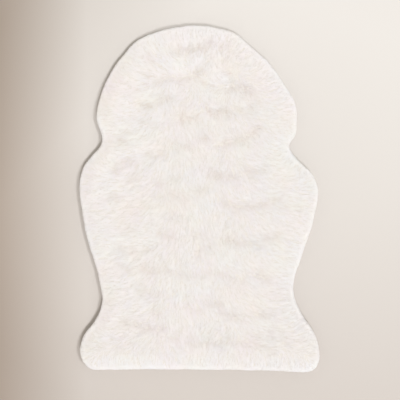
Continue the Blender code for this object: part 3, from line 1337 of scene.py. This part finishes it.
    def scattered(self, pitch: float) -> np.ndarray:
        """Places in plan, in staggered rows over the whole rug and each moved a little by chance."""
        middles = staggered(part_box(CAD_NODE), pitch)
        return middles + self.chance.uniform(-self.scatter, self.scatter, middles.shape) * pitch

    def rim_locks(self) -> tuple[np.ndarray, np.ndarray]:
        """Lays the rows of locks that hang over the rim and end at the cut.

        Returns:
            The strands' paths and widths, as for the pile.
        """
        cut = self.form.cut
        made = []
        for row in self.rim_rows:
            places = cut.even_places(self.rim_pitch)
            heading = cut.outward[places]
            middles = cut.line[places] - heading * row.depth
            off = self.chance.uniform(-self.rim_scatter, self.rim_scatter, middles.shape)
            middles += off * self.rim_pitch
            heading = self.turned(heading, self.rim_turn)
            length = row.depth * self.rim_reach
            made.append(self.strands(self.fringe, middles, heading, self.rim_strands, length, row))
        return np.concatenate([m[0] for m in made]), np.concatenate([m[1] for m in made])

    def turned(self, heading: np.ndarray, spread: float) -> np.ndarray:
        """Turns each heading a little by chance.

        Args:
            heading: The headings, as unit vectors in plan.
            spread: How far they turn, as a standard deviation in radians.

        Returns:
            The turned headings.
        """
        turn = self.chance.normal(0.0, spread, len(heading))
        cos, sin = np.cos(turn), np.sin(turn)
        x, y = heading[:, 0], heading[:, 1]
        return np.stack([x * cos - y * sin, x * sin + y * cos], axis=1)

    def varied(self, most: float, size: tuple[int, int]) -> np.ndarray:
        """Factors that are by chance at most this share more or less than 1."""
        return 1 + self.chance.uniform(-most, most, size)

    def strands(
        self,
        shape: StrandShape,
        middles: np.ndarray,
        heading: np.ndarray,
        count: int,
        length: float,
        row: RimRow = INSIDE,
    ) -> tuple[np.ndarray, np.ndarray]:
        """Lays the strands of some locks over the wool's surface.

        Args:
            shape: The strands' shape.
            middles: Each lock's middle at the roots, in plan.
            heading: The way each lock leans.
            count: Strands to a lock.
            length: How far a strand reaches, before chance makes it longer or shorter.
            row: The row along the cut that they belong to.

        Returns:
            The paths, by lock, strand, station and axis, and the widths by lock and strand.
        """
        form = self.form
        chance = self.chance
        locks = len(middles)
        single = (locks, count)
        side = np.stack([-heading[:, 1], heading[:, 0]], axis=1)
        reach = length * self.varied(self.lock_spread, (locks, 1))
        reach = reach * (1 - chance.uniform(0.0, row.unevenness, single))
        facing = np.maximum((heading * form.read(form.out, middles)).sum(axis=1), self.least_facing)
        least = np.abs(chance.normal(0.0, self.trim, single))
        room = (form.read(form.inside, middles) / facing)[:, None] - least
        reach = np.minimum(reach, np.maximum(room, self.least_reach))
        reach = reach * self.share_to_parting(middles, heading, reach)
        sizes = ((locks, 1), single)
        bow = sum(chance.normal(0.0, spread, size) for spread, size in zip(self.bows, sizes))
        angle = chance.uniform(0.0, WHOLE_TURN, single)
        apart = np.sqrt(chance.uniform(0.0, 1.0, single)) * self.lock_radius
        offset = np.stack([np.cos(angle), np.sin(angle)], axis=-1) * apart[..., None]
        proud = sum(chance.uniform(-most, most, size) for most, size in zip(self.proud, sizes))
        path = np.empty((locks, count, len(shape.stations), 3))
        kept = form.read(form.height, middles)[:, None]
        droop = self.varied(self.droop, single)
        for k, station in enumerate(shape.stations):
            along = reach[..., None] * station * heading[:, None, :]
            aside = (bow * math.sin(math.pi * station))[..., None] * side[:, None, :]
            places = middles[:, None, :] + offset * shape.gather[k] + along + aside
            places = form.trimmed(places.reshape(-1, 2), least.ravel())
            height = form.read(form.height, places).reshape(single)
            path[:, :, k, :2] = places.reshape(locks, count, 2)
            height = height + (kept - height) * shape.stiffness * station
            sunk = shape.sinks[k] + (row.sunk * (1 - station) + row.hang * station**2) * droop
            path[:, :, k, 2] = np.maximum(height - sunk + proud * station, self.lowest)
        return path, self.pile_width * self.varied(self.width_spread, single)

    def share_to_parting(self, middles: np.ndarray, heading: np.ndarray, reach: np.ndarray) -> np.ndarray:
        """The share of its reach at which each strand ends, so that it doesn't close a parting ahead of it.

        Args:
            middles: Each lock's middle at the roots, in plan.
            heading: The way each lock leans.
            reach: Each strand's reach, by lock and strand.

        Returns:
            One share for each strand.
        """
        form = self.form
        limit = self.chance.uniform(*self.lips, (len(reach), 1))
        limit = limit + self.chance.normal(0.0, self.lip_spread, reach.shape)
        limit = np.maximum(limit, form.read(form.parted, middles)[:, None])
        shortest, *longer = self.shares
        share = np.full(reach.shape, shortest)
        for tried in longer:
            tips = middles[:, None] + heading[:, None] * (reach * tried)[..., None]
            depth = form.read(form.parted, tips.reshape(-1, 2)).reshape(reach.shape)
            share = np.where(depth < limit, tried, share)
        return share

    def joined(
        self,
        name: str,
        shape: StrandShape,
        paths: np.ndarray,
        widths: np.ndarray,
        material: bpy.types.Material,
    ) -> bpy.types.Object:
        """Makes one piece from many strands.

        Args:
            name: The piece's name.
            shape: The strands' shape.
            paths: Their paths, by lock, strand, station and axis.
            widths: Their widths, by lock and strand.
            material: What they wear.

        Returns:
            The piece, riding on the rug.
        """
        rings, circle, triangles = shape.template()
        locks = len(widths)
        paths = paths.reshape(-1, len(shape.stations), 3)
        count = len(paths)
        ahead = unit(np.gradient(paths, axis=1))
        slope = self.form.read(self.form.slope, paths[..., :2].reshape(-1, 2)).reshape(count, -1, 2)
        up = unit(np.concatenate([-slope, np.ones((*slope.shape[:2], 1))], axis=2))
        across = unit(np.cross(up, ahead))
        raised = np.cross(ahead, across)
        radius = np.array([*shape.widths, 0.0]) / 2 * widths.reshape(-1, 1)
        roll = self.chance.normal(0.0, self.roll, count)[:, None]
        x = circle[:, 0] * np.cos(roll) - circle[:, 1] * np.sin(roll)
        y = circle[:, 0] * np.sin(roll) + circle[:, 1] * np.cos(roll)
        size = radius[:, rings]
        verts = (
            paths[:, rings]
            + across[:, rings] * (x * size)[..., None]
            + raised[:, rings] * (y * size * self.flatness)[..., None]
        )
        verts[..., 2] = np.maximum(verts[..., 2], self.clearance)
        faces = triangles[None] + (np.arange(count) * len(rings))[:, None, None]
        mesh = bpy.data.meshes.new(name)
        mesh.vertices.add(verts.size // 3)
        mesh.vertices.foreach_set("co", verts.astype(np.float32).ravel())
        mesh.loops.add(faces.size)
        mesh.loops.foreach_set("vertex_index", faces.astype(np.int32).ravel())
        mesh.polygons.add(faces.size // 3)
        mesh.polygons.foreach_set("loop_start", np.arange(0, faces.size, 3, dtype=np.int32))
        mesh.update(calc_edges=True)
        tone = np.repeat(self.tones(paths[:, -1, :2], locks), triangles.size)
        along = np.tile(np.array(shape.stations)[rings[triangles.ravel()]], count)
        layer = mesh.uv_layers.new(name=STRAND_MAP)
        layer.uv.foreach_set("vector", np.stack([tone, along], axis=1).astype(np.float32).ravel())
        return placed(name, mesh, material, self.sharp)

    def tones(self, tips: np.ndarray, locks: int) -> np.ndarray:
        """How white each strand is, with painted shade in the partings and painted light and shade along the
        cut.

        Args:
            tips: The strands' tips in plan, lock by lock.
            locks: How many locks they belong to.

        Returns:
            One tone for each strand, from 0 for the creamiest to 1 for the whitest.
        """
        form = self.form
        strands = len(tips) // locks
        # Painted light and shade on the wool along the cut, by the way the cut faces there.
        edge = 1 - smoothstep(*self.edge_reach, form.read(form.inside, tips))
        out = form.read(form.out, tips)
        facing = np.degrees(np.arctan2(out[:, 1], out[:, 0]))
        painted_rim_shading = edge * np.interp(facing, *np.transpose(self.edge_tones), period=360)
        own = self.chance.uniform(*self.own_tone, locks)
        creamy = np.repeat(own < np.quantile(own, self.cream_locks), strands)
        parted = form.read(form.parted, tips)
        beside = creamy * smoothstep(*self.cream_from, parted)
        beside *= np.interp(smoothstep(*self.cream_reach, tips[:, 1]), (0, 1), self.cream_lock)
        # The partings are darkened by their depth: the deep wool's own cream and painted shade in the
        # furrow.
        own = np.repeat(own, strands) * (1 - self.white) * (1 - parted * self.cream) * (1 - beside)
        return np.clip(own + painted_rim_shading, 0.0, 1.0)


@dataclass
class UnderwoolBody:
    """The closed body of dense wool that fills the rug under its strands.

    Attributes:
        form: The wool's height.
        insets: How far inside the cut its rings of points run. The first ring is its edge.
        ring_pitch: From one point of a ring to the next.
        pitch: From one point to the next further in.
        sink: How far it lies under the strands' surface.
        floor: Height of its flat underside, on the skin.
        undercut: How far its wall leans in towards its foot.
        same: Points closer together than this count as one.
        sharp: Its edge is sharper than this, in radians, and its lumps aren't.
    """

    form: WoolForm
    insets: tuple[float, ...] = (5.5 * MM, 9 * MM, 13 * MM, 19 * MM)
    ring_pitch: float = 5 * MM
    pitch: float = 7 * MM
    sink: float = 1.3 * MM
    floor: float = 1.9 * MM
    undercut: float = 5 * MM
    same: float = 0.001 * MM
    sharp: float = math.radians(60)

    def build(self) -> bpy.types.Object:
        """Makes the body.

        Returns:
            The piece, which stands for the CAD solid.
        """
        shape = bmesh.new()
        self.raise_top(shape)
        self.close(shape)
        body = placed("underwool", meshed("underwool", shape), Underwool().material(), self.sharp)
        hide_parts(CAD_NODE)
        return body

    def raise_top(self, shape: bmesh.types.BMesh) -> None:
        """Lays a net of triangles over the whole rug, under the strands' surface.

        Args:
            shape: The empty mesh that takes the net.
        """
        form = self.form
        rings = [form.cut.ring(inset, self.ring_pitch) for inset in self.insets]
        inner = staggered(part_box(CAD_NODE), self.pitch)
        inner = inner[form.read(form.inside, inner) > self.insets[-1] + self.pitch / 2]
        plan = np.concatenate([*rings, inner])
        height = form.read(form.height, plan) - self.sink
        edge = [list(range(len(rings[0])))]
        keep_inside = 1
        made = geometry.delaunay_2d_cdt([Vector(p) for p in plan], [], edge, keep_inside, self.same)
        corners = [shape.verts.new((*place, height[source[0]])) for place, source in zip(made[0], made[3])]
        for numbers in made[2]:
            shape.faces.new([corners[n] for n in numbers])

    def close(self, shape: bmesh.types.BMesh) -> None:
        """Drops a wall from the net's edge and closes the underside.

        Args:
            shape: The net.
        """
        edge = [e for e in shape.edges if e.is_boundary]
        wall = bmesh.ops.extrude_edge_only(shape, edges=edge)["geom"]
        for corner in (g for g in wall if isinstance(g, bmesh.types.BMVert)):
            out = self.form.read(self.form.out, np.array([corner.co.xy]))[0]
            corner.co.xy -= Vector(out) * self.undercut
            corner.co.z = self.floor
        foot = [g for g in wall if isinstance(g, bmesh.types.BMEdge) and g.is_boundary]
        bmesh.ops.triangle_fill(shape, edges=foot, use_beauty=True, use_dissolve=False)
        bmesh.ops.recalc_face_normals(shape, faces=shape.faces)


@dataclass
class Skin:
    """The thin tanned skin that the wool grows on.

    Attributes:
        cut: The rug's outline.
        inset: How far the skin ends inside the wool's tips.
        thickness: Its thickness.
        edge_round: How far its cut edge is rounded.
        edge_steps: Over how many faces it is.
        sharp: Its edges that bend more than this, in radians, stay sharp.
    """

    cut: Cut
    inset: float = 7 * MM
    thickness: float = 1.8 * MM
    edge_round: float = 0.5 * MM
    edge_steps: int = 2
    sharp: float = math.radians(40)

    def build(self) -> bpy.types.Object:
        """Makes the skin, flat on the floor.

        Returns:
            The piece.
        """
        line = (self.cut.line - self.cut.outward * self.inset)[:: self.cut.samples]
        shape = bmesh.new()
        corners = [shape.verts.new((x, y, 0.0)) for x, y in line]
        shape.faces.new(corners)
        made = bmesh.ops.extrude_face_region(shape, geom=list(shape.faces))["geom"]
        raised = [g for g in made if isinstance(g, bmesh.types.BMVert)]
        bmesh.ops.translate(shape, verts=raised, vec=(0.0, 0.0, self.thickness))
        bmesh.ops.recalc_face_normals(shape, faces=shape.faces)
        level = [e for e in shape.edges if abs(e.verts[0].co.z - e.verts[1].co.z) < self.thickness / 2]
        bmesh.ops.bevel(
            shape,
            geom=level,
            offset=self.edge_round,
            offset_type="OFFSET",
            affect="EDGES",
            segments=self.edge_steps,
            profile=0.5,
            material=-1,
        )
        bmesh.ops.triangulate(shape, faces=[f for f in shape.faces if len(f.verts) > 4])
        return placed("skin", meshed("skin", shape), SuededHide().material(), self.sharp)

    def declare(self) -> None:
        """Works out the area inside the skin's cut, and does nothing more with it.
        """
        line = self.cut.line - self.cut.outward * self.inset
        area = abs(Cut.signed_area(line))


@dataclass
class Studio:
    """The pale floor, the soft light and the camera straight above.

    Attributes:
        frame_width: How much of the floor the picture is wide.
        aim: The point of the floor in the middle of the picture.
        lens: Focal length in millimetres, on a sensor 36 mm wide.
        sensor: Width of that sensor.
        dome: Brightness of the light from all round.
        dome_color: Its colour.
        key: Power of the soft lamps at the lower right together, in watts.
        key_color: Their colour, a little cooler than the dome, so the shadow looks warm.
        key_angle: How wide each one looks from the rug, in degrees.
        key_bearings: Where they stand round the rug, in degrees from its right-hand side.
        key_height: How high they stand, in degrees over the floor.
        key_distance: How far off their marks are drawn. Their light falls alike from any distance.
        floor_reach: How far the floor reaches to each side.
        floor_gap: How far it lies under the rug, so that neither shows through the other.
    """

    frame_width: float = 1.0447
    aim: tuple[float, float] = (1.1 * MM, -2.7 * MM)
    lens: float = 100.0
    sensor: float = 36.0
    dome: float = 0.524
    dome_color: str = "#FFFBF3"
    key: float = 1.79
    key_color: str = "#F9FAFE"
    key_angle: float = 9.0
    key_bearings: tuple[float, ...] = (-71.0, -12.0)
    key_height: float = 66.0
    key_distance: float = 2.5
    floor_reach: float = 6.0
    floor_gap: float = 0.2 * MM

    def build(self) -> None:
        """Sets up the floor, the light and the camera."""
        self.floor()
        self.light()
        self.camera()

    def floor(self) -> None:
        """Lays the floor just under the rug."""
        shape = bmesh.new()
        bmesh.ops.create_grid(shape, x_segments=1, y_segments=1, size=self.floor_reach)
        bmesh.ops.translate(shape, verts=shape.verts, vec=(0.0, 0.0, -self.floor_gap))
        mesh = meshed("floor", shape)
        mesh.materials.append(FloorPaper().material())
        floor = bpy.data.objects.new("floor", mesh)
        bpy.context.scene.collection.objects.link(floor)

    def light(self) -> None:
        """A bright even dome, and soft lamps that leave a thin shadow along the left and the top."""
        scene = bpy.context.scene
        scene.view_settings.view_transform = "Standard"
        scene.world = bpy.data.worlds.new("soft_studio")
        scene.world.use_nodes = True
        background = scene.world.node_tree.nodes["Background"]
        background.inputs["Color"].default_value = linear(self.dome_color)
        background.inputs["Strength"].default_value = self.dome
        for number, bearing in enumerate(self.key_bearings, 1):
            self.lamp(f"key_{number}", math.radians(bearing), math.radians(self.key_height))

    def lamp(self, name: str, bearing: float, height: float) -> None:
        """Adds one of the soft lamps.

        Args:
            name: Its name.
            bearing: Where it stands round the rug, in radians from its right-hand side.
            height: How high it stands, in radians over the floor.
        """
        lamp = bpy.data.lights.new(name, "SUN")
        lamp.energy = self.key / len(self.key_bearings)
        lamp.angle = math.radians(self.key_angle)
        lamp.color = linear(self.key_color)[:3]
        holder = bpy.data.objects.new(name, lamp)
        place = Vector(
            (math.cos(bearing) * math.cos(height), math.sin(bearing) * math.cos(height), math.sin(height))
        )
        holder.location = place * self.key_distance
        holder.rotation_euler = place.to_track_quat("Z", "Y").to_euler()
        bpy.context.scene.collection.objects.link(holder)

    def camera(self) -> None:
        """Looks straight down, with the head end at the top of the picture."""
        view = bpy.data.cameras.new("camera")
        view.lens = self.lens
        view.sensor_width = self.sensor
        holder = bpy.data.objects.new("camera", view)
        holder.location = (*self.aim, self.frame_width * self.lens / self.sensor)
        bpy.context.scene.collection.objects.link(holder)
        bpy.context.scene.camera = holder


def meshed(name: str, shape: bmesh.types.BMesh) -> bpy.types.Mesh:
    """Turns a shape that is finished into a mesh.

    Args:
        name: The mesh's name.
        shape: The shape, which is used up.

    Returns:
        The mesh.
    """
    mesh = bpy.data.meshes.new(name)
    shape.to_mesh(mesh)
    shape.free()
    return mesh


def placed(
    name: str, mesh: bpy.types.Mesh, material: bpy.types.Material, sharp: float
) -> bpy.types.Object:
    """Puts a finished mesh into the scene as a piece of the rug.

    Args:
        name: The piece's name.
        mesh: Its mesh, in the rug's own frame.
        material: What it wears.
        sharp: Edges that bend more than this, in radians, stay sharp, and the rest is shaded smooth.

    Returns:
        The piece, riding on the rug.
    """
    mesh.shade_smooth()
    mesh.set_sharp_from_angle(angle=sharp)
    mesh.materials.append(material)
    piece = bpy.data.objects.new(name, mesh)
    bpy.context.scene.collection.objects.link(piece)
    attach(piece, BODY)
    return piece


def merged_copy(node: bpy.types.Object) -> bmesh.types.BMesh:
    """Copies a CAD node's mesh and joins its loose triangles.

    Args:
        node: The CAD node.

    Returns:
        The copy.
    """
    solid = bmesh.new()
    solid.from_mesh(node.data)
    bmesh.ops.remove_doubles(solid, verts=solid.verts, dist=SAME_PLACE)
    solid.normal_update()
    return solid


def report(piece: bpy.types.Object) -> None:
    """Says what a piece measures.

    Args:
        piece: The piece.
    """
    piece.data.calc_loop_triangles()
    sides = " x ".join(f"{side / MM:.0f}" for side in piece.dimensions)
    log.info("%s: %d triangles, %s mm", piece.name, len(piece.data.loop_triangles), sides)


def main() -> None:
    """Builds the rug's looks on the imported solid."""
    logging.basicConfig(level=logging.INFO, format="%(name)s: %(message)s")
    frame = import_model()
    solid = merged_copy(frame["nodes"][CAD_NODE])
    cut = Cut()
    cut.read(solid)
    form = WoolForm(cut)
    form.survey(solid)
    skin_maker = Skin(cut)
    skin = skin_maker.build()
    solid.free()
    body = UnderwoolBody(form).build()
    wool = Fleece(form).build()
    skin_maker.declare()
    Studio().build()
    bpy.context.view_layer.update()
    for piece in (skin, body, *wool):
        report(piece)


if __name__ == "__main__":
    main()
